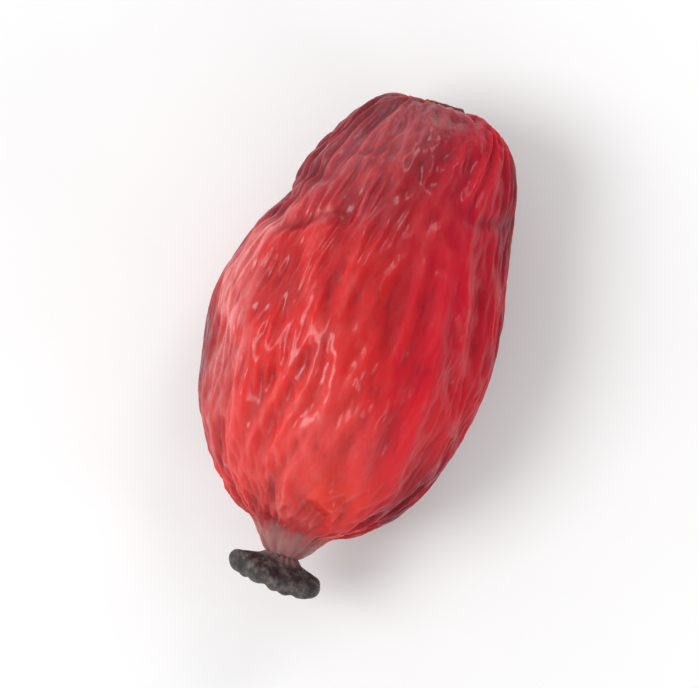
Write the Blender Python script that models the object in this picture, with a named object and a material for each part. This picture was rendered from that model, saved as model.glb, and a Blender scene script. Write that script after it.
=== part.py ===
"""A single dried barberry, lying on its side on a small flat spot.

Metres, +Z up. The long axis runs along X, from the stalk end at -X to the black stigma at +X.
The origin is at the middle of the foot of the bounding box, on the surface that the berry lies on.
"""

import math
from collections import namedtuple

import bmesh
import bpy
import numpy as np

MM = 0.001
TURN = 2 * math.pi

# Body: half an egg towards the stalk and a shorter half towards the tip
HALF_WIDTH = 2.27 * MM
HALF_HEIGHT = 2.02 * MM
STALK_REACH = 4.02 * MM
TIP_REACH = 3.32 * MM
WIDEST_X = -0.205 * MM
STALK_BLUNTNESS = 0.86
TIP_BLUNTNESS = 0.88
WAIST_X = -2.0 * MM
WAIST_SPREAD = 1.1 * MM
WAIST_DEPTH = 0.16 * MM
STALK_BEND = 0.34 * MM

# Ends
NECK_RADIUS = 0.46 * MM
NECK_LENGTH = 0.34 * MM
NECK_START = 0.45
DIMPLE_RADIUS = 0.62 * MM
DIMPLE_DEPTH = 0.34 * MM
SCAR_RADIUS = 0.27 * MM
SCAR_HEIGHT = 0.10 * MM
SCAR_EDGE = 0.10 * MM

# Resting spot, which the skin eases into over the first stretch of height
REST_DROP = 1.93 * MM
CALM_HEIGHT = 0.50 * MM

# Skin relief: nets of crests with hollows between them, as broad facets and as lengthwise folds
Net = namedtuple("Net", "around rows crest drift seed")
CELL_JITTER = 0.45
CREST_SHARPNESS = 12.0
SPARE_ROWS = 3
FACETS = Net(around=7, rows=3, crest=0.35, drift=0.5, seed=5)
FOLDS = Net(around=21, rows=6, crest=0.27, drift=1.5, seed=12)
FACET_DEPTH = 0.10 * MM
FOLD_DEPTH = 0.085 * MM
FOLD_DEPTH_AT_ENDS = 0.06 * MM
FOLD_DEPTH_SPREAD = 0.025 * MM
PATCH_SEED = 40
RELIEF_START = 0.16 * MM
RELIEF_FULL = 0.85 * MM

# Hand-placed dents where the flesh has sunk; the angle is from the top, towards +Y
Dent = namedtuple("Dent", "x degrees half_length half_width depth")
DENT_LEAST_GIRTH = 0.3
DENTS = (
    Dent(-1.75 * MM, -86, 0.55 * MM, 1.50 * MM, 0.20 * MM),
    Dent(-3.00 * MM, -70, 0.60 * MM, 1.20 * MM, 0.14 * MM),
    Dent(-0.75 * MM, -90, 0.50 * MM, 0.90 * MM, 0.08 * MM),
    Dent(-0.60 * MM, 62, 1.70 * MM, 0.42 * MM, 0.10 * MM),
    Dent(1.35 * MM, -28, 1.30 * MM, 0.26 * MM, 0.08 * MM),
    Dent(-1.60 * MM, 18, 1.20 * MM, 0.50 * MM, 0.07 * MM),
    Dent(0.90 * MM, 32, 1.10 * MM, 0.16 * MM, 0.06 * MM),
    Dent(-1.30 * MM, -22, 0.90 * MM, 0.15 * MM, 0.06 * MM),
    Dent(0.30 * MM, 150, 1.80 * MM, 0.50 * MM, 0.12 * MM),
    Dent(1.00 * MM, -128, 1.50 * MM, 0.45 * MM, 0.12 * MM),
)

# Stigma: a dried button with a thick crinkled rim round a hollow, as x and radius from its foot
STIGMA_PROFILE = (
    (0.00, 0.00),
    (0.00, 0.24),
    (0.05, 0.36),
    (0.12, 0.56),
    (0.17, 0.70),
    (0.27, 0.76),
    (0.38, 0.74),
    (0.46, 0.64),
    (0.47, 0.52),
    (0.42, 0.38),
    (0.34, 0.24),
    (0.30, 0.10),
    (0.30, 0.00),
)
STIGMA_GAP = 0.02 * MM
STIGMA_TILT = math.radians(3)
STIGMA_PROFILE_CUTS = 2
RIM_RADIUS = 0.70 * MM
RIM_CURL = 0.05 * MM

# Waves in the rim's outline: how many round it, their share of the radius, and where they start
RIM_WAVES = ((3, 0.030, 0.4), (5, 0.025, 2.1), (8, 0.020, 5.0))

# Mesh
BERRY_AROUND = 124
BERRY_ROWS = 46
ROW_CROWDING = 0.035
STIGMA_STEPS = 48

SKIN_COLOUR = (0.50, 0.040, 0.052, 1.0)
STIGMA_COLOUR = (0.020, 0.015, 0.016, 1.0)


def clear_scene():
    for item in list(bpy.data.objects):
        bpy.data.objects.remove(item)


def smooth_step(value):
    value = np.clip(value, 0.0, 1.0)
    return value * value * (3 - 2 * value)


def drifting(angle, along, seed, pitch=2.5, waves=6):
    """A slow, seeded drift from -1 to 1 that closes on itself round the berry."""
    draw = np.random.default_rng(seed)
    size = draw.uniform(0.3, 1.0, waves)
    turns = draw.integers(1, 4, waves)
    climb = draw.uniform(-pitch, pitch, waves)
    start = draw.uniform(0, TURN, waves)
    total = np.zeros_like(angle)
    for wave in range(waves):
        phase = turns[wave] * angle + TURN * climb[wave] * along + start[wave]
        total += size[wave] * np.sin(phase)
    return total / size.sum()


def cell_offsets(u, v, net):
    """From each point to the middles of the cells near it, on a jittered, staggered grid."""
    draw = np.random.default_rng(net.seed)
    last_row = net.rows + 2 * SPARE_ROWS - 1
    shift = draw.uniform(-CELL_JITTER, CELL_JITTER, (last_row + 1, net.around, 2))
    row = np.floor(v).astype(int)
    column = np.floor(u).astype(int)
    across, along = [], []
    for up in (-1, 0, 1):
        for over in (-2, -1, 0, 1, 2):
            cell_row = row + up
            cell_column = column + over
            moved = shift[np.clip(cell_row + SPARE_ROWS, 0, last_row), cell_column % net.around]
            stagger = 0.5 * (cell_row % 2)
            across.append(cell_column + 0.5 + stagger + moved[..., 0] - u)
            along.append(cell_row + 0.5 + moved[..., 1] - v)
    return np.stack(across), np.stack(along)


def hollows(angle, along, net):
    """0 along a net of crests, falling to -1 in the hollows between them."""
    u = angle / TURN * net.around + net.drift * drifting(angle, along, net.seed + 1)
    v = along * net.rows + 0.5 * net.drift * drifting(angle, along, net.seed + 2)
    across, lengthwise = cell_offsets(u, v, net)
    nearest = np.argmin(across**2 + lengthwise**2, axis=0)[None]
    near_across = np.take_along_axis(across, nearest, 0)
    near_lengthwise = np.take_along_axis(lengthwise, nearest, 0)
    step_across = across - near_across
    step_lengthwise = lengthwise - near_lengthwise
    step = np.hypot(step_across, step_lengthwise)
    another_cell = step > 1e-6
    reach = (across + near_across) * step_across + (lengthwise + near_lengthwise) * step_lengthwise
    border = np.maximum(reach / (2 * np.where(another_cell, step, 1.0)), 0.0)
    blended = np.where(another_cell, np.exp(-CREST_SHARPNESS * border), 0.0).sum(axis=0)
    distance = np.maximum(-np.log(blended) / CREST_SHARPNESS, 0.0)
    return np.exp(-((distance / net.crest) ** 2)) - 1


def dent_depth(x, girth, angle):
    total = np.zeros_like(x)
    for dent in DENTS:
        turned = (angle - math.radians(dent.degrees) + math.pi) % TURN - math.pi
        off_side = turned * HALF_WIDTH * np.maximum(girth, DENT_LEAST_GIRTH) / dent.half_width
        off_length = (x - dent.x) / dent.half_length
        total += dent.depth * np.exp(-(off_side**2) - off_length**2)
    return total


def relief(x, girth, radius, angle, along):
    """How far the skin stands from the plain body: folds gathered towards both ends, and dents."""
    patch = drifting(angle, along, PATCH_SEED, pitch=1.5)
    fold_depth = FOLD_DEPTH + FOLD_DEPTH_AT_ENDS * (1 - girth) + FOLD_DEPTH_SPREAD * patch
    net = FACET_DEPTH * hollows(angle, along, FACETS) + fold_depth * hollows(angle, along, FOLDS)
    grip = smooth_step((radius - RELIEF_START) / (RELIEF_FULL - RELIEF_START))
    return net * grip - dent_depth(x, girth, angle)


def berry_surface(angle, along):
    """Points on the skin: angle from the top towards +Y, along from 0 at the stalk to 1 at the tip."""
    polar = math.pi * (along - ROW_CROWDING * np.sin(TURN * along))
    stalk_half = polar < math.pi / 2
    reach = np.where(stalk_half, STALK_REACH, TIP_REACH)
    girth = np.sin(polar) ** np.where(stalk_half, STALK_BLUNTNESS, TIP_BLUNTNESS)
    radius = girth * (HALF_WIDTH + HALF_HEIGHT) / 2

    x = -np.cos(polar) * reach
    neck = NECK_LENGTH * (1 - smooth_step(radius / NECK_RADIUS - NECK_START))
    scar = SCAR_HEIGHT * (1 - smooth_step((radius - SCAR_RADIUS) / SCAR_EDGE))
    dimple = DIMPLE_DEPTH * np.exp(-((radius / DIMPLE_RADIUS) ** 2)) - scar
    x = x + np.where(stalk_half, dimple, neck)
    waist = 1 - WAIST_DEPTH / HALF_WIDTH * np.exp(-(((x - WAIST_X) / WAIST_SPREAD) ** 2))
    y = girth * waist * HALF_WIDTH * np.sin(angle)
    z = girth * waist * HALF_HEIGHT * np.cos(angle)

    normal = np.stack(
        [
            -np.cos(polar) / reach,
            girth * np.sin(angle) / HALF_WIDTH,
            girth * np.cos(angle) / HALF_HEIGHT,
        ]
    )
    normal /= np.linalg.norm(normal, axis=0)
    calm = smooth_step((z + REST_DROP) / CALM_HEIGHT)
    lift = relief(x, girth, radius, angle, along) * calm
    x, y, z = np.stack([x, y, z]) + lift * normal

    bend = np.where(x < 0, STALK_BEND, 0.0) * (x / STALK_REACH) ** 2
    return np.stack([x + WIDEST_X, y + bend, np.maximum(z + REST_DROP, 0.0)], axis=-1)


def material(name, colour, roughness):
    made = bpy.data.materials.new(name)
    made.use_nodes = True
    shader = made.node_tree.nodes["Principled BSDF"]
    shader.inputs["Base Color"].default_value = colour
    shader.inputs["Roughness"].default_value = roughness
    shader.inputs["Metallic"].default_value = 0.0
    return made


def add_part(name, mesh, finish, collection):
    mesh.shade_smooth()
    mesh.materials.append(finish)
    part = bpy.data.objects.new(name, mesh)
    collection.objects.link(part)
    return part


def move_points(mesh, rule):
    """Puts each vertex where the rule sends it."""
    points = np.empty(len(mesh.vertices) * 3)
    mesh.vertices.foreach_get("co", points)
    moved = rule(points.reshape(-1, 3))
    mesh.vertices.foreach_set("co", moved.ravel())
    mesh.update()


def berry_from_ball(points):
    """A unit ball's points, with its poles at the stalk and at the tip, sent to the skin."""
    along = np.arccos(np.clip(points[:, 2], -1, 1)) / math.pi
    angle = np.arctan2(points[:, 1], points[:, 0])
    return berry_surface(angle, along)


def berry_mesh():
    mesh = bpy.data.meshes.new("berry")
    ball = bmesh.new()
    bmesh.ops.create_uvsphere(ball, u_segments=BERRY_AROUND, v_segments=BERRY_ROWS, radius=1)
    ball.to_mesh(mesh)
    ball.free()
    move_points(mesh, berry_from_ball)
    return mesh


def crinkled_rim(points):
    """Waves in the button's outline, and a rim that curls more on some sides than on others."""
    radius = np.hypot(points[:, 1], points[:, 2])
    angle = np.arctan2(points[:, 1], points[:, 2])
    outward = smooth_step(radius / RIM_RADIUS)
    swell = sum(size * np.sin(count * angle + start) for count, size, start in RIM_WAVES)
    points = points.copy()
    points[:, 0] += RIM_CURL * outward * np.sin(2 * angle + 1.0)
    points[:, 1:] *= (1 + outward * swell)[:, None]
    return points


def rounded(profile, cuts):
    """The profile with smooth curves drawn through its points, each stretch cut in pieces."""
    corners = np.array(profile) * MM
    padded = np.vstack([2 * corners[0] - corners[1], corners, 2 * corners[-1] - corners[-2]])
    points = []
    for before, start, end, after in zip(padded, padded[1:], padded[2:], padded[3:]):
        for cut in range(cuts):
            t = cut / cuts
            straight = start + (end - start) * t
            bow = ((before - start) * (1 - t) + (after - end) * t + (end - start) * (1 - 2 * t)) / 2
            points.append(straight - bow * t * (1 - t))
    points.append(corners[-1])
    return np.maximum(points, 0.0)


def stigma_mesh():
    """The profile turned about the X axis."""
    shape = bmesh.new()
    line = [shape.verts.new((x, 0, radius)) for x, radius in rounded(STIGMA_PROFILE, STIGMA_PROFILE_CUTS)]
    edges = [shape.edges.new(pair) for pair in zip(line, line[1:])]
    bmesh.ops.spin(
        shape,
        geom=line + edges,
        cent=(0, 0, 0),
        axis=(1, 0, 0),
        angle=TURN,
        steps=STIGMA_STEPS,
        use_merge=True,
    )
    bmesh.ops.remove_doubles(shape, verts=shape.verts, dist=0.0001 * MM)
    bmesh.ops.recalc_face_normals(shape, faces=shape.faces)
    mesh = bpy.data.meshes.new("stigma")
    shape.to_mesh(mesh)
    shape.free()
    move_points(mesh, crinkled_rim)
    return mesh


def neck_end():
    """Middle of the neck's end face."""
    return berry_surface(np.array([0.0]), np.array([1.0]))[0]


def build():
    clear_scene()
    collection = bpy.data.collections.new("barberry")
    bpy.context.scene.collection.children.link(collection)
    skin = material("berry_skin", SKIN_COLOUR, 0.35)
    dark = material("stigma", STIGMA_COLOUR, 0.65)
    add_part("berry", berry_mesh(), skin, collection)
    stigma = add_part("stigma", stigma_mesh(), dark, collection)
    x, y, z = neck_end()
    stigma.location = (x + STIGMA_GAP, y, z)
    stigma.rotation_euler = (0, 0, -STIGMA_TILT)


build()
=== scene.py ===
"""Looks of the dried barberry: the fine skin and stigma, their finishes, the floor, light and camera.

Metres, +Z up, in the frame of the CAD model. The form repeats the CAD model's own formula and adds
finer creases to it. Angles round the berry are from its top towards +Y, and "along" runs from 0 at the
stalk end (-X) to 1 at the tip (+X). In the finishes, places are in millimetres. The camera sees -Y on
its left.
"""

import math
from collections import namedtuple

import bmesh
import bpy
import numpy as np
from mathutils import Matrix, Vector


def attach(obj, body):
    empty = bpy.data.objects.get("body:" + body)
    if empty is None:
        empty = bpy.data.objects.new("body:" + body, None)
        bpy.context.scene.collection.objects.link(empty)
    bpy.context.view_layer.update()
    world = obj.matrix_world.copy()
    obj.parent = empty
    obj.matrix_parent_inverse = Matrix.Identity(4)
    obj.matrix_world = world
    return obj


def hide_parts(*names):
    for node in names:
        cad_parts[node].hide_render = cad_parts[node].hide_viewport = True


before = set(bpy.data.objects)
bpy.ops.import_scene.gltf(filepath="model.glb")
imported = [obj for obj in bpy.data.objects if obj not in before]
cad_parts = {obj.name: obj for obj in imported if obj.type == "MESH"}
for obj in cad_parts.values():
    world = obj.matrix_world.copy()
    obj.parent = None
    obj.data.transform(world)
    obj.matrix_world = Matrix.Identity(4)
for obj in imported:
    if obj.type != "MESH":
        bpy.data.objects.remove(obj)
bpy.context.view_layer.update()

MM = 0.001
TURN = 2 * math.pi

# Body, as in the CAD model
HALF_WIDTH = 2.27 * MM
HALF_HEIGHT = 2.02 * MM
STALK_REACH = 4.02 * MM
TIP_REACH = 3.32 * MM
WIDEST_X = -0.205 * MM
STALK_BLUNTNESS = 0.86
TIP_BLUNTNESS = 0.88
WAIST_X = -2.0 * MM
WAIST_SPREAD = 1.1 * MM
WAIST_DEPTH = 0.16 * MM
STALK_BEND = 0.34 * MM

# Ends
NECK_RADIUS = 0.46 * MM
NECK_LENGTH = 0.34 * MM
NECK_START = 0.45
DIMPLE_RADIUS = 0.62 * MM
DIMPLE_DEPTH = 0.34 * MM
SCAR_RADIUS = 0.27 * MM
SCAR_HEIGHT = 0.10 * MM
SCAR_EDGE = 0.10 * MM
ROW_CROWDING = 0.035

# Resting spot, which the skin eases into over the first stretch of height
REST_DROP = 1.93 * MM
CALM_HEIGHT = 0.50 * MM

# Nets of crests: how many cells there are around and along, how wide a crest is, and how far cells drift
Net = namedtuple("Net", "around rows crest drift seed")
CELL_JITTER = 0.45
CREST_SHARPNESS = 12.0
SPARE_ROWS = 3
SAME_CELL = 1e-6
LENGTHWISE_DRIFT = 0.5

# Slow drifts, from a few waves that turn round the berry and climb along it
Drift = namedtuple("Drift", "seed pitch most_turns", defaults=(2.5, 3))
DRIFT_WAVES = 6
DRIFT_LEAST_SIZE = 0.3

# Skin relief of the CAD model: broad facets and lengthwise folds
FACETS = Net(around=7, rows=3, crest=0.35, drift=0.5, seed=5)
FOLDS = Net(around=21, rows=6, crest=0.27, drift=1.5, seed=12)
FACET_DEPTH = 0.10 * MM
FOLD_DEPTH = 0.085 * MM
FOLD_DEPTH_AT_ENDS = 0.06 * MM
FOLD_DEPTH_SPREAD = 0.025 * MM
FOLD_PATCHES = Drift(40, pitch=1.5)
RELIEF_START = 0.16 * MM
RELIEF_FULL = 0.85 * MM

# Finer relief, seen only here: creases between the folds, and a crinkle over everything
CREASES = Net(around=46, rows=15, crest=0.30, drift=3.0, seed=31)
CRINKLE = Net(around=96, rows=40, crest=0.33, drift=5.0, seed=77)
CREASE_DEPTH = 0.048 * MM
CREASE_SPREAD = 0.014 * MM
CREASE_PATCHES = Drift(91, pitch=2.0)
CRINKLE_DEPTH = 0.015 * MM
CRINKLE_SPREAD = 0.007 * MM
CRINKLE_PATCHES = Drift(92, pitch=3.0)

# How far inside the smooth body the crests stay, and how much further at the stalk end
SIDE_INSET = 0.004 * MM
STALK_INSET = 0.021 * MM

# Broad dents, as in the CAD model
Dent = namedtuple("Dent", "x degrees half_length half_width depth")
DENT_LEAST_GIRTH = 0.3
DENTS = (
    Dent(-1.75 * MM, -86, 0.55 * MM, 1.50 * MM, 0.20 * MM),
    Dent(-3.00 * MM, -70, 0.60 * MM, 1.20 * MM, 0.14 * MM),
    Dent(-0.75 * MM, -90, 0.50 * MM, 0.90 * MM, 0.08 * MM),
    Dent(-0.60 * MM, 62, 1.70 * MM, 0.42 * MM, 0.10 * MM),
    Dent(1.35 * MM, -28, 1.30 * MM, 0.26 * MM, 0.08 * MM),
    Dent(-1.60 * MM, 18, 1.20 * MM, 0.50 * MM, 0.07 * MM),
    Dent(0.90 * MM, 32, 1.10 * MM, 0.16 * MM, 0.06 * MM),
    Dent(-1.30 * MM, -22, 0.90 * MM, 0.15 * MM, 0.06 * MM),
    Dent(0.30 * MM, 150, 1.80 * MM, 0.50 * MM, 0.12 * MM),
    Dent(1.00 * MM, -128, 1.50 * MM, 0.45 * MM, 0.12 * MM),
)

# Short folds that wander across the shoulder, too narrow for the CAD model
SHOULDER_FOLDS = (
    Dent(-1.42 * MM, -46, 0.14 * MM, 0.85 * MM, 0.110 * MM),
    Dent(-2.28 * MM, -62, 0.15 * MM, 0.80 * MM, 0.120 * MM),
    Dent(-1.88 * MM, -88, 0.12 * MM, 0.70 * MM, 0.080 * MM),
    Dent(-2.75 * MM, -30, 0.12 * MM, 0.60 * MM, 0.060 * MM),
    Dent(-2.40 * MM, 58, 0.13 * MM, 0.70 * MM, 0.070 * MM),
    Dent(-1.00 * MM, 118, 0.13 * MM, 0.80 * MM, 0.080 * MM),
    Dent(0.60 * MM, -150, 0.13 * MM, 0.70 * MM, 0.060 * MM),
)
SHOULDER_WANDER = 0.45 * MM
SHOULDER_DRIFT = Drift(52, most_turns=9)
DEEPEST_PINCH = 0.12 * MM
PINCH_CALM = 0.85

# Stigma, as in the CAD model but with a foot that sinks into the neck. The profile is x and radius in
# millimetres, with x from the CAD model's foot.
STIGMA_PROFILE = (
    (-0.06, 0.00),
    (-0.06, 0.22),
    (0.05, 0.36),
    (0.12, 0.56),
    (0.17, 0.70),
    (0.27, 0.76),
    (0.38, 0.74),
    (0.46, 0.64),
    (0.47, 0.52),
    (0.42, 0.38),
    (0.34, 0.24),
    (0.30, 0.10),
    (0.30, 0.00),
)
STIGMA_GAP = 0.02 * MM
STIGMA_TILT = math.radians(3)
RIM_RADIUS = 0.70 * MM
RIM_CURL = 0.05 * MM
RIM_CURL_TURNS = 2
RIM_CURL_START = 1.0

# Waves in the rim's outline: how many round it, their share of the radius, and where they start
RIM_WAVES = ((3, 0.030, 0.4), (5, 0.025, 2.1), (8, 0.020, 5.0))

# Finer relief of the ends and of the stigma
NECK_GROOVES = Net(around=13, rows=12, crest=0.35, drift=0.6, seed=8)
NECK_GROOVE_DEPTH = 0.045 * MM
NECK_GROOVE_RADIUS = 0.38 * MM
NECK_GROOVE_SPREAD = 0.24 * MM
SCAR_PITS = Net(around=9, rows=90, crest=0.35, drift=0.8, seed=14)
SCAR_PIT_DEPTH = 0.035 * MM
RIM_FOLDS = Net(around=15, rows=4, crest=0.30, drift=0.6, seed=3)
RIM_FOLD_DEPTH = 0.055 * MM
RIM_CRUMBS = Net(around=54, rows=22, crest=0.34, drift=1.5, seed=4)
RIM_CRUMB_DEPTH = 0.014 * MM
RIDGES_FROM = 0.28 * MM

# Lengthwise fibres under the skin, seen as colour alone; their pale streaks are also painted highlight
# streaks
FIBRES = Net(around=64, rows=5, crest=0.30, drift=4.0, seed=61)

# Marks that the materials read
FACET_SHARE = 0.3
CREASE_SHARE = 0.7
NECK_MARK_START = 0.26 * MM
NECK_MARK_FADE = 0.62 * MM
FAR_OFF_SCAR = 2.0

# Meshes, made from a cube whose faces are cut into even squares
BERRY_CUTS = 127
STIGMA_CUTS = 63
STIGMA_PROFILE_CUTS = 8

# Colours of the skin, linear
STALK_SKIN = (0.28, 0.008, 0.024, 1)
BODY_SKIN = (0.52, 0.008, 0.016, 1)
BRIGHT_SKIN = (0.68, 0.014, 0.012, 1)
TIP_SKIN = (0.74, 0.090, 0.080, 1)
DEEP_SKIN = (0.22, 0.003, 0.014, 1)
# Painted shade of the right side
SHADED_CRIMSON_SKIN = (0.66, 0.002, 0.030, 1)
# Painted glow of light through the skin
GLOWING_SKIN = (0.80, 0.040, 0.010, 1)
# Painted shade in the hollows and pinches
VALLEY_SKIN = (0.17, 0.003, 0.009, 1)
# Pale tone of the blotches, and painted light on the left side and along the fibres
PALE_AND_PAINTED_LIGHT_SKIN = (0.72, 0.034, 0.032, 1)
# Wax with painted highlight on the crests, and painted reflection on the left flank
WAX_AND_HIGHLIGHT_SKIN = (0.78, 0.20, 0.20, 1)
# Painted shade, low on the sides and at the rims; also the dark of the neck
RIM_SKIN = (0.13, 0.008, 0.022, 1)
NECK_SKIN = (0.41, 0.21, 0.20, 1)
STALK_MAUVE = (0.42, 0.13, 0.15, 1)
SCAR_TAN = (0.30, 0.17, 0.105, 1)
SCAR_PALE = (0.38, 0.235, 0.155, 1)
SCAR_DARK = (0.085, 0.042, 0.034, 1)

# Colours of the stigma and the floor
STIGMA_BLACK = (0.008, 0.006, 0.007, 1)
STIGMA_BROWN = (0.024, 0.016, 0.015, 1)
STIGMA_DUST = (0.29, 0.235, 0.225, 1)
FLOOR_DULL = (0.90, 0.90, 0.90, 1)
FLOOR_BRIGHT = (0.93, 0.93, 0.93, 1)

# Values that are the same all over a surface, by the shader's own names for them
SKIN_CONSTANTS = {
    "Subsurface Weight": 0.85,
    "Subsurface Radius": (1.0, 0.16, 0.10),
    "Subsurface Scale": 0.45 * MM,
    "Specular IOR Level": 0.15,
    "Coat Roughness": 0.17,
    "Coat IOR": 1.6,
}
FLOOR_CONSTANTS = {
    "Roughness": 0.7,
    "Specular IOR Level": 0.2,
    "Emission Color": (1, 1, 1, 1),
    "Emission Strength": 0.06,
}

# Noises. A stretch under 1 draws the pattern out along that axis.
Noise = namedtuple("Noise", "scale stretch detail roughness distortion", defaults=(3.0, 0.5, 0.0))
EVEN = (1.0, 1.0, 1.0)
WANDER = Noise(0.55, EVEN, detail=2.0)
BLOTCHES = Noise(1.1, (0.8, 1.2, 1.2), detail=4.0, roughness=0.6, distortion=0.4)
DUST = Noise(5.0, (0.40, 1.0, 1.0), detail=5.0, roughness=0.65)
SHADE_PATCH_NOISE = Noise(0.9, (0.6, 1.0, 1.0), detail=4.0, roughness=0.6, distortion=0.5)
PATCHES = Noise(2.4, EVEN, detail=4.0, roughness=0.6)
WRINKLES = Noise(6.5, (0.30, 1.0, 1.0), detail=4.0, roughness=0.55, distortion=0.35)
GRAIN = Noise(16.0, EVEN, detail=4.0)
SCAR_FIBRES = Noise(14.0, EVEN, detail=4.0, roughness=0.7)
STIGMA_CLOUDS = Noise(6.0, EVEN, detail=5.0, roughness=0.65)
STIGMA_GRAIN = Noise(9.0, EVEN, detail=6.0, roughness=0.68)
FLOOR_CLOUDS = Noise(3.0, (0.05, 0.05, 0.05))

# Fades: what a value gives where it reaches the start and where it reaches the end, with places in
# millimetres
Fade = namedtuple("Fade", "start end at_start at_end", defaults=(0.0, 1.0))

# Ground colour from stalk to tip and blotches, then painted shade that turns the right side crimson and
# painted light on the left side
COLOUR_DRIFT = Fade(0.2, 0.8, -0.9, 0.9)
STALK_TO_TIP = Fade(-4.0, 3.6)
SKIN_STOPS = ((0.0, STALK_SKIN), (0.28, BODY_SKIN), (0.62, BRIGHT_SKIN), (1.0, TIP_SKIN))
DEEP_BLOTCHES = Fade(0.50, 0.72, 0.0, 0.50)
PALE_BLOTCHES = Fade(0.44, 0.28, 0.0, 0.38)
SHADED_RIGHT_SIDE = Fade(0.0, 1.5, 0.0, 0.70)
PAINTED_LIGHT_SIDE = Fade(-0.6, -2.1, 0.0, 0.10)

# Painted shade in the hollows, a painted glow beside the neck, and pale fibres that show more towards
# the tip, also painted highlight streaks
FOLD_HOLLOWS = Fade(0.75, 0.20, 0.0, 0.35)
FOLDS_BY_SIDE = Fade(0.0, 1.4, 1.0, 0.55)
CREASE_HOLLOWS = Fade(0.55, 0.08, 0.0, 0.33)
PINCH_SHADE = 0.6
GLOW_PLACE = (2.35, 0.49, 3.1)
GLOW_REACH = 0.9
GLOW_SHARE = 0.55
PALE_FIBRES = Fade(0.55, 0.95)
FIBRES_BY_LENGTH = Fade(-1.0, 2.0, 0.08, 0.32)

# Wax and painted highlight on the crests, more of it on the lit left side
WAX_AND_HIGHLIGHT_ON_FOLDS = Fade(0.72, 1.0)
WAX_AND_HIGHLIGHT_ON_CREASES = Fade(0.45, 0.95)
WAX_AND_HIGHLIGHT_DUST = Fade(0.42, 0.62, 0.04, 0.26)
WAX_AND_HIGHLIGHT_BY_SIDE = Fade(0.6, -1.2, 0.35, 1.35)

# Borders that rise and fall by a slow wave
BORDER_WAVE = Fade(0.25, 0.75, -1.0, 1.0)
STREAK_WAVE_HEIGHT = 0.25
LOW_SHADE_WAVE_HEIGHT = 0.40

# Painted reflection of the floor: pale streaks along the left flank
STREAK_FOOT = Fade(2.20, 2.80)
STREAK_TOP = Fade(3.35, 2.90)
STREAK_SIDE = Fade(-1.30, -1.70)
STREAK_FOLDS = Fade(0.35, 0.75, 0.40, 1.0)
STREAK_DUST = Fade(0.35, 0.60, 0.25, 0.95)
STREAK_FIBRES = Fade(0.40, 0.90)
STREAK_CREASES = Fade(0.20, 0.80)
STREAK_BREAKS = Fade(0.0, 0.7, 0.25, 1.0)

# Mauve bloom at the stalk end, more of it on the left
BLOOM_SLANT = 1.2
BLOOM_REACH = Fade(-2.3, -3.9)
BLOOM_END = Fade(-0.8, -3.4)
BLOOM_DUST = Fade(0.30, 0.70, 0.25, 0.60)

# Painted shade: darker skin low on the berry, and long dark patches at the rims of its sides
LOW_SHADE_HEIGHT = Fade(3.0, 1.7)
LOW_SHADE_PATCHES = Fade(0.34, 0.64, 0.25, 0.85)
RIM_SHADE_PLACES = ((-3.4, -1.0, 2.1), (-2.8, 1.9, 2.0), (2.0, 1.6, 2.2), (1.1, -2.1, 1.75))
RIM_SHADE_REACH = 1.1
RIM_SHADE_SLENDERNESS = 0.55
RIM_SHADE_MOTTLE = Fade(0.30, 0.60, 0.30, 0.85)

# The painted glow and the painted rim shade are at full strength out to this share of their reach
FULL_STRENGTH = 0.2

# Neck: dark first, then streaked with a brownish mauve
NECK_RAGGED = Fade(0.3, 0.7, -0.12, 0.12)
NECK_SHADE = Fade(0.10, 0.60, 0.0, 0.42)
NECK_STREAKS = Fade(0.15, 1.0)
NECK_STREAK_GROOVES = Fade(0.2, 0.9, 0.50, 1.0)
NECK_STREAK_DUST = Fade(0.25, 0.55, 0.70, 1.0)

# Stalk scar: tan rings under dark fibres
SCAR_RAGGED = Fade(0.3, 0.7, -0.10, 0.10)
SCAR_STOPS = (
    (0.0, SCAR_DARK),
    (0.20, SCAR_DARK),
    (0.32, SCAR_TAN),
    (0.55, SCAR_PALE),
    (0.70, SCAR_TAN),
    (0.84, SCAR_DARK),
)
SCAR_FIBRE_SHADE = Fade(0.45, 0.65, 0.0, 0.7)
SCAR_BORDER = Fade(1.05, 0.90)

# Roughness and grain of the skin
ROUGH_FOLDS = Fade(0.3, 1.0, 0.30, 0.42)
ROUGH_PATCHES = Fade(0.3, 0.7, -0.06, 0.12)
ROUGH_SCAR = Fade(1.1, 0.9, 0.0, 0.35)
BUMP_STRENGTH = 0.8
SKIN_BUMP = 0.028 * MM
GRAIN_SHARE = 0.25

# Wet gloss: on the top, and on the left flank
WET_HEIGHT = Fade(2.0, 3.2, 0.15, 0.50)
WET_PATCHES = Fade(0.62, 0.42, 0.4, 1.0)
WET_SIDE = Fade(0.2, 1.4, 1.0, 0.35)
WET_FLANK = Fade(-1.2, -1.8, 0.0, 0.95)
WET_FLANK_HEIGHT = Fade(1.9, 2.8)
WET_FLANK_LENGTH = Fade(-2.4, -1.0, 0.25, 1.0)
WET_FLANK_PATCHES = Fade(0.68, 0.45, 0.4, 1.0)
DRY_SCAR = Fade(0.9, 1.2)
DRY_PINCHES = Fade(0.15, 0.60, 1.0, 0.15)

# Stigma: dusty on its crests, black in its hollow, and of the neck's colour at its foot
BROWN_CLOUDS = Fade(0.35, 0.65)
DUSTY_CRUMBS = Fade(0.2, 1.0, 0.60, 1.0)
DUSTY_CLOUDS = Fade(0.42, 0.66, 0.06, 0.55)
BLACK_HOLLOW = Fade(0.80, 0.95, 0.0, 0.8)
STIGMA_FOOT = Fade(0.26, 0.06)
STIGMA_ROUGHNESS = Fade(0.3, 0.7, 0.48, 0.74)
STIGMA_BUMP = 0.030 * MM

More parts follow.
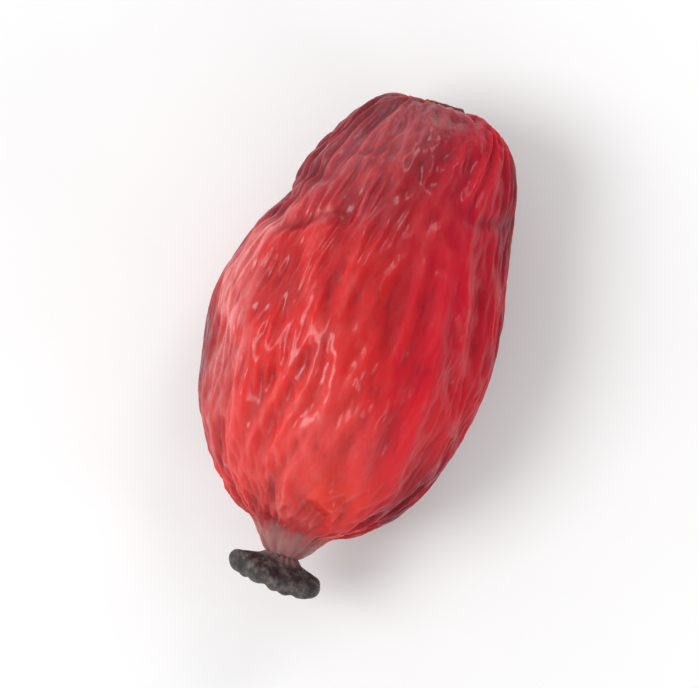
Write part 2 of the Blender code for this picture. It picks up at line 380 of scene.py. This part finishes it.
# Floor, light and camera. Each lamp has its place, its size and its watts.
FLOOR_SIZE = 1.6
FLOOR_SHADES = Fade(0.3, 0.7)
WORLD_LIGHT_LEFT = 0.85
WORLD_LIGHT_ABOVE = 0.62
WORLD_LIGHT_RIGHT = 0.34
WORLD_DIMMEST_AT = 0.9
KEY_LIGHT = ((0.06, -0.22, 0.34), 0.20, 0.67)
FILL_LIGHT = ((-0.28, 0.06, 0.32), 0.15, 0.22)
SIDE_LIGHT = ((0.08, 0.30, 0.18), 0.10, 0.10)
CAMERA_LENS = 500
CAMERA_HEIGHT = 0.150
CAMERA_REACH = (0.001, 5.0)
CAMERA_TURN = math.radians(17.5)
PICTURE_RIGHT = Vector((-math.sin(CAMERA_TURN), math.cos(CAMERA_TURN), 0))
PICTURE_UP = Vector((-math.cos(CAMERA_TURN), -math.sin(CAMERA_TURN), 0))
STRAIGHT_UP = Vector((0, 0, 1))
LOOK_AT = Vector((0.0, 0.0, 1.9 * MM))


def smooth_step(value):
    value = np.clip(value, 0.0, 1.0)
    return value * value * (3 - 2 * value)


def drifting(angle, along, drift):
    """A slow, seeded drift from -1 to 1 that closes on itself round the berry."""
    draw = np.random.default_rng(drift.seed)
    size = draw.uniform(DRIFT_LEAST_SIZE, 1.0, DRIFT_WAVES)
    turns = draw.integers(1, drift.most_turns + 1, DRIFT_WAVES)
    climb = draw.uniform(-drift.pitch, drift.pitch, DRIFT_WAVES)
    start = draw.uniform(0, TURN, DRIFT_WAVES)
    total = np.zeros_like(angle)
    for wave in range(DRIFT_WAVES):
        phase = turns[wave] * angle + TURN * climb[wave] * along + start[wave]
        total += size[wave] * np.sin(phase)
    return total / size.sum()


def cell_offsets(u, v, net):
    """From each point to the middles of the cells near it, on a jittered, staggered grid."""
    draw = np.random.default_rng(net.seed)
    last_row = net.rows + 2 * SPARE_ROWS - 1
    shift = draw.uniform(-CELL_JITTER, CELL_JITTER, (last_row + 1, net.around, 2))
    row = np.floor(v).astype(int)
    column = np.floor(u).astype(int)
    across, along = [], []
    for up in (-1, 0, 1):
        for over in (-2, -1, 0, 1, 2):
            cell_row = row + up
            cell_column = column + over
            moved = shift[np.clip(cell_row + SPARE_ROWS, 0, last_row), cell_column % net.around]
            stagger = 0.5 * (cell_row % 2)
            across.append(cell_column + 0.5 + stagger + moved[..., 0] - u)
            along.append(cell_row + 0.5 + moved[..., 1] - v)
    return np.stack(across), np.stack(along)


def hollows(angle, along, net):
    """0 along a net of crests, falling to -1 in the hollows between them.

    Crests run along the borders between cells, and are blended where they meet.
    """
    over = net.drift * drifting(angle, along, Drift(net.seed + 1))
    up = net.drift * LENGTHWISE_DRIFT * drifting(angle, along, Drift(net.seed + 2))
    across, lengthwise = cell_offsets(angle / TURN * net.around + over, along * net.rows + up, net)
    nearest = np.argmin(across**2 + lengthwise**2, axis=0)[None]
    near_across = np.take_along_axis(across, nearest, 0)
    near_lengthwise = np.take_along_axis(lengthwise, nearest, 0)
    step_across = across - near_across
    step_lengthwise = lengthwise - near_lengthwise
    step = np.hypot(step_across, step_lengthwise)
    another_cell = step > SAME_CELL
    reach = (across + near_across) * step_across + (lengthwise + near_lengthwise) * step_lengthwise
    border = np.maximum(reach / (2 * np.where(another_cell, step, 1.0)), 0.0)
    blended = np.where(another_cell, np.exp(-CREST_SHARPNESS * border), 0.0).sum(axis=0)
    distance = np.maximum(-np.log(blended) / CREST_SHARPNESS, 0.0)
    return np.exp(-((distance / net.crest) ** 2)) - 1


def dent_depth(x, girth, angle, dents):
    """How deep the dents are together at each point."""
    total = np.zeros_like(x)
    for dent in dents:
        turned = (angle - math.radians(dent.degrees) + math.pi) % TURN - math.pi
        off_side = turned * HALF_WIDTH * np.maximum(girth, DENT_LEAST_GIRTH) / dent.half_width
        off_length = (x - dent.x) / dent.half_length
        total += dent.depth * np.exp(-(off_side**2) - off_length**2)
    return total


def pinches(x, girth, angle, along):
    """Depth of the shoulder folds, as a share of the deepest."""
    wandered = x + SHOULDER_WANDER * drifting(angle, along, SHOULDER_DRIFT)
    return dent_depth(wandered, girth, angle, SHOULDER_FOLDS) / DEEPEST_PINCH


def skin_nets(angle, along):
    """The four nets of crests at each point, from the broadest to the finest."""
    return [hollows(angle, along, net) for net in (FACETS, FOLDS, CREASES, CRINKLE)]


def end_relief(radius, stalk_half, angle, along):
    """Grooves gathered into the neck, and pits in the scar where the stalk broke off."""
    off_neck = (radius - NECK_GROOVE_RADIUS) / NECK_GROOVE_SPREAD
    grooves = NECK_GROOVE_DEPTH * np.exp(-(off_neck**2)) * hollows(angle, along, NECK_GROOVES)
    on_scar = 1 - smooth_step((radius - SCAR_RADIUS) / SCAR_EDGE)
    pits = SCAR_PIT_DEPTH * on_scar * hollows(angle, along, SCAR_PITS)
    return np.where(stalk_half, pits, grooves)


def relief(x, girth, radius, angle, along, nets):
    """How far the skin stands from the plain body."""
    facets, folds, creases, crinkle = nets
    fold_spread = FOLD_DEPTH_SPREAD * drifting(angle, along, FOLD_PATCHES)
    fold_depth = FOLD_DEPTH + FOLD_DEPTH_AT_ENDS * (1 - girth) + fold_spread
    crease_depth = CREASE_DEPTH + CREASE_SPREAD * drifting(angle, along, CREASE_PATCHES)
    crinkle_depth = CRINKLE_DEPTH + CRINKLE_SPREAD * drifting(angle, along, CRINKLE_PATCHES)
    pinch = pinches(x, girth, angle, along)
    fine = (crease_depth * creases + crinkle_depth * crinkle) * (1 - PINCH_CALM * np.minimum(pinch, 1.0))
    net = FACET_DEPTH * facets + fold_depth * folds + fine
    grip = smooth_step((radius - RELIEF_START) / (RELIEF_FULL - RELIEF_START))
    inset = SIDE_INSET + np.where(x < 0, STALK_INSET * (1 - girth), 0.0)
    return net * grip - dent_depth(x, girth, angle, DENTS) - DEEPEST_PINCH * pinch - inset


def plain_body(along):
    """At each place along it: angle from the axis, whether in the stalk's half, reach, girth, radius."""
    polar = math.pi * (along - ROW_CROWDING * np.sin(TURN * along))
    stalk_half = polar < math.pi / 2
    reach = np.where(stalk_half, STALK_REACH, TIP_REACH)
    girth = np.sin(polar) ** np.where(stalk_half, STALK_BLUNTNESS, TIP_BLUNTNESS)
    radius = girth * (HALF_WIDTH + HALF_HEIGHT) / 2
    return polar, stalk_half, reach, girth, radius


def berry_surface(angle, along, nets):
    """Points on the skin: angle from the top towards +Y, along from 0 at the stalk to 1 at the tip."""
    polar, stalk_half, reach, girth, radius = plain_body(along)
    x = -np.cos(polar) * reach
    neck = NECK_LENGTH * (1 - smooth_step(radius / NECK_RADIUS - NECK_START))
    scar = SCAR_HEIGHT * (1 - smooth_step((radius - SCAR_RADIUS) / SCAR_EDGE))
    dimple = DIMPLE_DEPTH * np.exp(-((radius / DIMPLE_RADIUS) ** 2)) - scar
    x = x + np.where(stalk_half, dimple, neck)
    waist = 1 - WAIST_DEPTH / HALF_WIDTH * np.exp(-(((x - WAIST_X) / WAIST_SPREAD) ** 2))
    y = girth * waist * HALF_WIDTH * np.sin(angle)
    z = girth * waist * HALF_HEIGHT * np.cos(angle)

    normal = np.stack(
        [
            -np.cos(polar) / reach,
            girth * np.sin(angle) / HALF_WIDTH,
            girth * np.cos(angle) / HALF_HEIGHT,
        ]
    )
    normal /= np.linalg.norm(normal, axis=0)
    calm = smooth_step((z + REST_DROP) / CALM_HEIGHT)
    lift = relief(x, girth, radius, angle, along, nets) + end_relief(radius, stalk_half, angle, along)
    x, y, z = np.stack([x, y, z]) + lift * calm * normal

    bend = np.where(x < 0, STALK_BEND, 0.0) * (x / STALK_REACH) ** 2
    return np.stack([x + WIDEST_X, y + bend, np.maximum(z + REST_DROP, 0.0)], axis=-1)


def skin_marks(angle, along, nets):
    """Where the material finds crests, fibres, pinches, the neck and the scar."""
    facets, folds, creases, crinkle = nets
    polar, stalk_half, reach, girth, radius = plain_body(along)
    neck = 1 - smooth_step((radius - NECK_MARK_START) / NECK_MARK_FADE)
    return {
        "fold": 1 + FACET_SHARE * facets + (1 - FACET_SHARE) * folds,
        "crease": 1 + CREASE_SHARE * creases + (1 - CREASE_SHARE) * crinkle,
        "fibre": 1 + hollows(angle, along, FIBRES),
        "groove": 1 + hollows(angle, along, NECK_GROOVES),
        "pinch": pinches(-np.cos(polar) * reach, girth, angle, along),
        "neck": np.where(stalk_half, 0.0, neck),
        "off_scar": np.where(stalk_half, radius / (SCAR_RADIUS + SCAR_EDGE), FAR_OFF_SCAR),
    }


def rounded(profile, cuts):
    """The profile with smooth curves drawn through its points, each stretch cut in pieces."""
    corners = np.array(profile) * MM
    padded = np.vstack([2 * corners[0] - corners[1], corners, 2 * corners[-1] - corners[-2]])
    points = []
    for before, start, end, after in zip(padded, padded[1:], padded[2:], padded[3:]):
        for cut in range(cuts):
            t = cut / cuts
            straight = start + (end - start) * t
            bow = ((before - start) * (1 - t) + (after - end) * t + (end - start) * (1 - 2 * t)) / 2
            points.append(straight - bow * t * (1 - t))
    points.append(corners[-1])
    return np.array(points)


def stigma_surface(angle, along):
    """Points on the stigma, about the X axis: along from 0 at its foot to 1 in its hollow."""
    profile = rounded(STIGMA_PROFILE, STIGMA_PROFILE_CUTS)
    steps = np.hypot(*np.diff(profile, axis=0).T)
    walked = np.concatenate([[0.0], np.cumsum(steps)])
    place = walked / walked[-1]
    x = np.interp(along, place, profile[:, 0])
    radius = np.maximum(np.interp(along, place, profile[:, 1]), 0.0)
    slope = np.gradient(profile, walked, axis=0)
    out_x = np.interp(along, place, -slope[:, 1])
    out_radius = np.interp(along, place, slope[:, 0])

    outward = smooth_step(radius / RIM_RADIUS)
    folds = RIM_FOLD_DEPTH * hollows(angle, along, RIM_FOLDS)
    crumbs = RIM_CRUMB_DEPTH * hollows(angle, along, RIM_CRUMBS)
    lift = (folds + crumbs) * smooth_step(radius / RIDGES_FROM)
    x = x + lift * out_x
    radius = np.maximum(radius + lift * out_radius, 0.0)

    x = x + RIM_CURL * outward * np.sin(RIM_CURL_TURNS * angle + RIM_CURL_START)
    swell = sum(size * np.sin(count * angle + start) for count, size, start in RIM_WAVES)
    radius = radius * (1 + outward * swell)
    return np.stack([x, radius * np.sin(angle), radius * np.cos(angle)], axis=-1)


def fine_ball(name, cuts):
    """A cube cut into even squares, and each point's angle and place along the axis, as on a ball."""
    mesh = bpy.data.meshes.new(name)
    cube = bmesh.new()
    bmesh.ops.create_cube(cube, size=2)
    bmesh.ops.subdivide_edges(cube, edges=cube.edges[:], cuts=cuts, use_grid_fill=True)
    cube.to_mesh(mesh)
    cube.free()
    points = np.empty(len(mesh.vertices) * 3)
    mesh.vertices.foreach_get("co", points)
    # The tangent keeps the squares alike in size once they are on the ball
    even = np.tan(points.reshape(-1, 3) * math.pi / 4)
    even /= np.linalg.norm(even, axis=1)[:, None]
    along = np.arccos(np.clip(even[:, 2], -1, 1)) / math.pi
    angle = np.arctan2(even[:, 1], even[:, 0])
    return mesh, angle, along


def shape_piece(name, mesh, points, marks, finish, node):
    """Moves the points, stores the marks, and puts the piece in the CAD node's place."""
    mesh.vertices.foreach_set("co", points.ravel())
    for mark_name, values in marks.items():
        stored = mesh.attributes.new(mark_name, "FLOAT", "POINT")
        stored.data.foreach_set("value", values.astype(np.float32))
    mesh.update()
    mesh.shade_smooth()
    mesh.materials.append(finish)
    piece = bpy.data.objects.new(name, mesh)
    bpy.context.scene.collection.objects.link(piece)
    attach(piece, "root")
    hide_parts(node)


def make_berry():
    mesh, angle, along = fine_ball("barberry_skin", BERRY_CUTS)
    nets = skin_nets(angle, along)
    points = berry_surface(angle, along, nets)
    marks = skin_marks(angle, along, nets)
    shape_piece("barberry_skin", mesh, points, marks, skin_material(), "berry")


def neck_end():
    """Middle of the neck's end face."""
    angle, along = np.array([0.0]), np.array([1.0])
    return berry_surface(angle, along, skin_nets(angle, along))[0]


def make_stigma():
    mesh, angle, along = fine_ball("stigma_button", STIGMA_CUTS)
    turn = np.array(Matrix.Rotation(-STIGMA_TILT, 3, "Z"))
    foot = neck_end() + (STIGMA_GAP, 0, 0)
    points = stigma_surface(angle, along) @ turn.T + foot
    marks = {
        "fold": 1 + hollows(angle, along, RIM_FOLDS),
        "crumb": 1 + hollows(angle, along, RIM_CRUMBS),
        "inward": along,
    }
    shape_piece("stigma_button", mesh, points, marks, stigma_material(), "stigma")


def add(tree, kind, inputs, **settings):
    """Adds a node. Each input is another node's output, which is linked, or a value, which is set."""
    node = tree.nodes.new(kind)
    for setting, value in settings.items():
        setattr(node, setting, value)
    for key, value in inputs.items():
        if isinstance(value, bpy.types.NodeSocket):
            tree.links.new(value, node.inputs[key])
        else:
            node.inputs[key].default_value = value
    return node


def new_material(name, constants):
    """A material with its node tree and its Principled shader, whose constants are set."""
    made = bpy.data.materials.new(name)
    made.use_nodes = True
    shader = made.node_tree.nodes["Principled BSDF"]
    for key, value in constants.items():
        shader.inputs[key].default_value = value
    return made, made.node_tree, shader


def link(tree, shader, outputs):
    for key, output in outputs.items():
        tree.links.new(output, shader.inputs[key])


def mark(tree, name):
    """A mark that is stored on the mesh."""
    return add(tree, "ShaderNodeAttribute", {}, attribute_name=name).outputs["Fac"]


def maths(tree, operation, first, second):
    return add(tree, "ShaderNodeMath", {0: first, 1: second}, operation=operation).outputs[0]


def product(tree, total, *others):
    """All the values multiplied together."""
    for other in others:
        total = maths(tree, "MULTIPLY", total, other)
    return total


def between(tree, value, fade):
    """What the fade gives for the value, along a smooth step that is held at its ends."""
    inputs = {
        "Value": value,
        "From Min": fade.start,
        "From Max": fade.end,
        "To Min": fade.at_start,
        "To Max": fade.at_end,
    }
    return add(tree, "ShaderNodeMapRange", inputs, interpolation_type="SMOOTHSTEP").outputs["Result"]


def mixed(tree, share, under, over):
    """The colour over laid on the colour under, by that share."""
    return add(tree, "ShaderNodeMix", {0: share, 6: under, 7: over}, data_type="RGBA").outputs[2]


def places(tree, stretch=EVEN):
    """Object coordinates in millimetres, times the stretch."""
    at = add(tree, "ShaderNodeTexCoord", {}).outputs["Object"]
    scale = [part / MM for part in stretch]
    return add(tree, "ShaderNodeVectorMath", {0: at, 1: scale}, operation="MULTIPLY").outputs[0]


def axes(tree):
    """X, Y and Z in millimetres."""
    return add(tree, "ShaderNodeSeparateXYZ", {0: places(tree)}).outputs


def noise(tree, pattern):
    inputs = {
        "Vector": places(tree, pattern.stretch),
        "Scale": pattern.scale,
        "Detail": pattern.detail,
        "Roughness": pattern.roughness,
        "Distortion": pattern.distortion,
    }
    return add(tree, "ShaderNodeTexNoise", inputs).outputs["Fac"]


def ramp(tree, value, stops):
    """A colour ramp through (place, colour) stops, in rising order."""
    node = add(tree, "ShaderNodeValToRGB", {"Fac": value})
    elements = node.color_ramp.elements
    for place, colour in stops[1:-1]:
        elements.new(place).color = colour
    for end in (0, -1):
        elements[end].position, elements[end].color = stops[end]
    return node.outputs["Color"]


def bumped(tree, grain, height):
    """The surface's normal with the grain raised on it."""
    inputs = {"Height": grain, "Strength": BUMP_STRENGTH, "Distance": height}
    return add(tree, "ShaderNodeBump", inputs).outputs["Normal"]


def near(tree, at, place, reach):
    """1 close to the place, fading to 0 at the reach."""
    away = add(tree, "ShaderNodeVectorMath", {0: at, 1: place}, operation="DISTANCE").outputs["Value"]
    return between(tree, away, Fade(reach, FULL_STRENGTH * reach))


def ragged(tree, name, border):
    """A mark whose borders the dust makes ragged."""
    return maths(tree, "ADD", mark(tree, name), between(tree, noise(tree, DUST), border))


def waved_height(tree, wave_height):
    """Height, raised and lowered by a slow wave."""
    x, y, z = axes(tree)
    wave = between(tree, noise(tree, WANDER), BORDER_WAVE)
    return maths(tree, "ADD", z, product(tree, wave, wave_height))


def ground_colour(tree):
    """From the dull stalk end to the bright tip, along borders that wander."""
    x, y, z = axes(tree)
    drifted = maths(tree, "ADD", x, between(tree, noise(tree, WANDER), COLOUR_DRIFT))
    return ramp(tree, between(tree, drifted, STALK_TO_TIP), SKIN_STOPS)


def crest_wax_and_highlight(tree):
    """Wax and painted highlight on the crests of folds and creases, more on the lit left side."""
    x, y, z = axes(tree)
    return product(
        tree,
        between(tree, mark(tree, "fold"), WAX_AND_HIGHLIGHT_ON_FOLDS),
        between(tree, mark(tree, "crease"), WAX_AND_HIGHLIGHT_ON_CREASES),
        between(tree, noise(tree, DUST), WAX_AND_HIGHLIGHT_DUST),
        between(tree, y, WAX_AND_HIGHLIGHT_BY_SIDE),
    )


def painted_flank_reflection(tree):
    """Painted reflection of the floor: pale streaks along the left flank, broken up by the fibres and
    creases.
    """
    x, y, z = axes(tree)
    height = waved_height(tree, STREAK_WAVE_HEIGHT)
    fibres = between(tree, mark(tree, "fibre"), STREAK_FIBRES)
    creases = between(tree, mark(tree, "crease"), STREAK_CREASES)
    return product(
        tree,
        between(tree, height, STREAK_FOOT),
        between(tree, height, STREAK_TOP),
        between(tree, y, STREAK_SIDE),
        between(tree, mark(tree, "fold"), STREAK_FOLDS),
        between(tree, noise(tree, DUST), STREAK_DUST),
        between(tree, product(tree, fibres, creases), STREAK_BREAKS),
    )


def stalk_bloom(tree):
    """Bloom at the stalk end, reaching further along on the left."""
    x, y, z = axes(tree)
    slanted = maths(tree, "ADD", x, product(tree, y, BLOOM_SLANT))
    return product(
        tree,
        between(tree, slanted, BLOOM_REACH),
        between(tree, x, BLOOM_END),
        between(tree, noise(tree, DUST), BLOOM_DUST),
    )


def painted_low_shade(tree):
    """Painted shade: darker skin low on the berry, in patches."""
    height = between(tree, waved_height(tree, LOW_SHADE_WAVE_HEIGHT), LOW_SHADE_HEIGHT)
    return product(tree, height, between(tree, noise(tree, SHADE_PATCH_NOISE), LOW_SHADE_PATCHES))


def painted_rim_shade(tree):
    """Painted shade: long dark patches at the rims of the sides, mottled by the dust noise."""
    at = places(tree, (RIM_SHADE_SLENDERNESS, 1.0, 1.0))
    darkest = 0.0
    for x, y, z in RIM_SHADE_PLACES:
        patch = near(tree, at, (x * RIM_SHADE_SLENDERNESS, y, z), RIM_SHADE_REACH)
        darkest = maths(tree, "MAXIMUM", patch, darkest)
    return product(tree, darkest, between(tree, noise(tree, DUST), RIM_SHADE_MOTTLE))


def neck_streaks(tree, neck):
    """Streaks along the neck's grooves."""
    return product(
        tree,
        between(tree, neck, NECK_STREAKS),
        between(tree, mark(tree, "groove"), NECK_STREAK_GROOVES),
        between(tree, noise(tree, DUST), NECK_STREAK_DUST),
    )


def scar_rings(tree, off_scar):
    """Colours of the scar, from its middle outwards."""
    fibres = between(tree, noise(tree, SCAR_FIBRES), SCAR_FIBRE_SHADE)
    return mixed(tree, fibres, ramp(tree, off_scar, SCAR_STOPS), SCAR_DARK)


def skin_colour(tree):
    """The ground colour under layers, each with the share that it hides and its colour."""
    x, y, z = axes(tree)
    fold, crease, fibre = (mark(tree, name) for name in ("fold", "crease", "fibre"))
    blotch = noise(tree, BLOTCHES)
    neck = ragged(tree, "neck", NECK_RAGGED)
    off_scar = ragged(tree, "off_scar", SCAR_RAGGED)
    layers = (
        (between(tree, blotch, DEEP_BLOTCHES), DEEP_SKIN),
        (between(tree, blotch, PALE_BLOTCHES), PALE_AND_PAINTED_LIGHT_SKIN),
        # Painted shade turns the right side crimson, and painted light brightens the left side
        (between(tree, y, SHADED_RIGHT_SIDE), SHADED_CRIMSON_SKIN),
        (between(tree, y, PAINTED_LIGHT_SIDE), PALE_AND_PAINTED_LIGHT_SKIN),
        # Painted shade in the hollows of folds and creases, and in the pinches
        (product(tree, between(tree, fold, FOLD_HOLLOWS), between(tree, y, FOLDS_BY_SIDE)), VALLEY_SKIN),
        (between(tree, crease, CREASE_HOLLOWS), VALLEY_SKIN),
        (product(tree, mark(tree, "pinch"), PINCH_SHADE), VALLEY_SKIN),
        # A painted glow, and pale fibres that are also painted highlight streaks
        (product(tree, near(tree, places(tree), GLOW_PLACE, GLOW_REACH), GLOW_SHARE), GLOWING_SKIN),
        (product(tree, between(tree, fibre, PALE_FIBRES), between(tree, x, FIBRES_BY_LENGTH)), PALE_AND_PAINTED_LIGHT_SKIN),
        # Wax with painted highlight on the crests
        (crest_wax_and_highlight(tree), WAX_AND_HIGHLIGHT_SKIN),
        # A painted reflection of the floor along the left flank
        (painted_flank_reflection(tree), WAX_AND_HIGHLIGHT_SKIN),
        (stalk_bloom(tree), STALK_MAUVE),
        # Painted shade low on the sides
        (painted_low_shade(tree), RIM_SKIN),
        # Painted shade at the rims
        (painted_rim_shade(tree), RIM_SKIN),
        (between(tree, neck, NECK_SHADE), RIM_SKIN),
        (neck_streaks(tree, neck), NECK_SKIN),
        (between(tree, off_scar, SCAR_BORDER), scar_rings(tree, off_scar)),
    )
    colour = ground_colour(tree)
    for share, over in layers:
        colour = mixed(tree, share, colour, over)
    return colour


def skin_roughness(tree):
    """Duller on the crests, in patches, and on the scar."""
    crests = between(tree, mark(tree, "fold"), ROUGH_FOLDS)
    patches = between(tree, noise(tree, PATCHES), ROUGH_PATCHES)
    scar = between(tree, mark(tree, "off_scar"), ROUGH_SCAR)
    return maths(tree, "ADD", maths(tree, "ADD", crests, patches), scar)


def skin_wetness(tree):
    """Wet on the top and on the left flank, in patches, and dry on the scar and in the pinches."""
    x, y, z = axes(tree)
    patches = noise(tree, PATCHES)
    top = product(
        tree,
        between(tree, z, WET_HEIGHT),
        between(tree, patches, WET_PATCHES),
        between(tree, y, WET_SIDE),
    )
    flank = product(
        tree,
        between(tree, y, WET_FLANK),
        between(tree, z, WET_FLANK_HEIGHT),
        between(tree, x, WET_FLANK_LENGTH),
        between(tree, patches, WET_FLANK_PATCHES),
    )
    return product(
        tree,
        maths(tree, "MAXIMUM", top, flank),
        between(tree, mark(tree, "off_scar"), DRY_SCAR),
        between(tree, mark(tree, "pinch"), DRY_PINCHES),
    )


def skin_material():
    """Red, gummy, lit-through skin, with crests pale from wax and painted highlight, and painted shade
    in the dark hollows.
    """
    made, tree, shader = new_material("barberry_skin", SKIN_CONSTANTS)
    grain = maths(tree, "ADD", noise(tree, WRINKLES), product(tree, noise(tree, GRAIN), GRAIN_SHARE))
    outputs = {
        "Base Color": skin_colour(tree),
        "Roughness": skin_roughness(tree),
        "Coat Weight": skin_wetness(tree),
        "Normal": bumped(tree, grain, SKIN_BUMP),
    }
    link(tree, shader, outputs)
    return made


def stigma_material():
    """Near-black dried button, dusty on its crests."""
    made, tree, shader = new_material("stigma_button", {})
    clouds = noise(tree, STIGMA_CLOUDS)
    inward = mark(tree, "inward")
    dusty = product(
        tree,
        mark(tree, "fold"),
        between(tree, mark(tree, "crumb"), DUSTY_CRUMBS),
        between(tree, clouds, DUSTY_CLOUDS),
    )
    colour = mixed(tree, between(tree, clouds, BROWN_CLOUDS), STIGMA_BLACK, STIGMA_BROWN)
    colour = mixed(tree, dusty, colour, STIGMA_DUST)
    colour = mixed(tree, between(tree, inward, BLACK_HOLLOW), colour, STIGMA_BLACK)
    colour = mixed(tree, between(tree, inward, STIGMA_FOOT), colour, NECK_SKIN)
    outputs = {
        "Base Color": colour,
        "Roughness": between(tree, clouds, STIGMA_ROUGHNESS),
        "Normal": bumped(tree, noise(tree, STIGMA_GRAIN), STIGMA_BUMP),
    }
    link(tree, shader, outputs)
    return made


def floor_material():
    made, tree, shader = new_material("pale_floor", FLOOR_CONSTANTS)
    shade = between(tree, noise(tree, FLOOR_CLOUDS), FLOOR_SHADES)
    link(tree, shader, {"Base Color": mixed(tree, shade, FLOOR_DULL, FLOOR_BRIGHT)})
    return made


def make_floor():
    mesh = bpy.data.meshes.new("floor")
    plane = bmesh.new()
    bmesh.ops.create_grid(plane, x_segments=1, y_segments=1, size=FLOOR_SIZE / 2)
    plane.to_mesh(mesh)
    plane.free()
    mesh.materials.append(floor_material())
    floor = bpy.data.objects.new("floor", mesh)
    bpy.context.scene.collection.objects.link(floor)


def make_world():
    """White light from all round, dimmer from the right."""
    world = bpy.data.worlds.new("studio")
    world.use_nodes = True
    tree = world.node_tree
    direction = add(tree, "ShaderNodeTexCoord", {}).outputs["Generated"]
    inputs = {0: direction, 1: PICTURE_RIGHT}
    sideways = add(tree, "ShaderNodeVectorMath", inputs, operation="DOT_PRODUCT").outputs["Value"]
    strength = between(tree, sideways, Fade(-1.0, 0.0, WORLD_LIGHT_LEFT, WORLD_LIGHT_ABOVE))
    fade_right = Fade(0.0, WORLD_DIMMEST_AT, 0.0, WORLD_LIGHT_ABOVE - WORLD_LIGHT_RIGHT)
    background = tree.nodes["Background"]
    background.inputs["Color"].default_value = (1, 1, 1, 1)
    dimmed = maths(tree, "SUBTRACT", strength, between(tree, sideways, fade_right))
    link(tree, background, {"Strength": dimmed})
    bpy.context.scene.world = world
    bpy.context.scene.view_settings.view_transform = "Standard"


def make_light(name, place, size, watts):
    """A round soft light aimed at the berry."""
    light = bpy.data.lights.new(name, "AREA")
    light.shape = "DISK"
    light.size = size
    light.energy = watts
    lamp = bpy.data.objects.new(name, light)
    lamp.location = place
    lamp.rotation_euler = (LOOK_AT - Vector(place)).to_track_quat("-Z", "Y").to_euler()
    bpy.context.scene.collection.objects.link(lamp)


def make_camera():
    """Straight down on the berry, turned so that its tip points to the lower left of the picture."""
    lens = bpy.data.cameras.new("camera")
    lens.lens = CAMERA_LENS
    lens.clip_start, lens.clip_end = CAMERA_REACH
    camera = bpy.data.objects.new("camera", lens)
    camera.matrix_world = Matrix((PICTURE_RIGHT, PICTURE_UP, STRAIGHT_UP)).transposed().to_4x4()
    camera.location = LOOK_AT + CAMERA_HEIGHT * STRAIGHT_UP
    bpy.context.scene.collection.objects.link(camera)
    bpy.context.scene.camera = camera


make_berry()
make_stigma()
make_floor()
make_world()
make_light("key", *KEY_LIGHT)
make_light("fill", *FILL_LIGHT)
make_light("side", *SIDE_LIGHT)
make_camera()
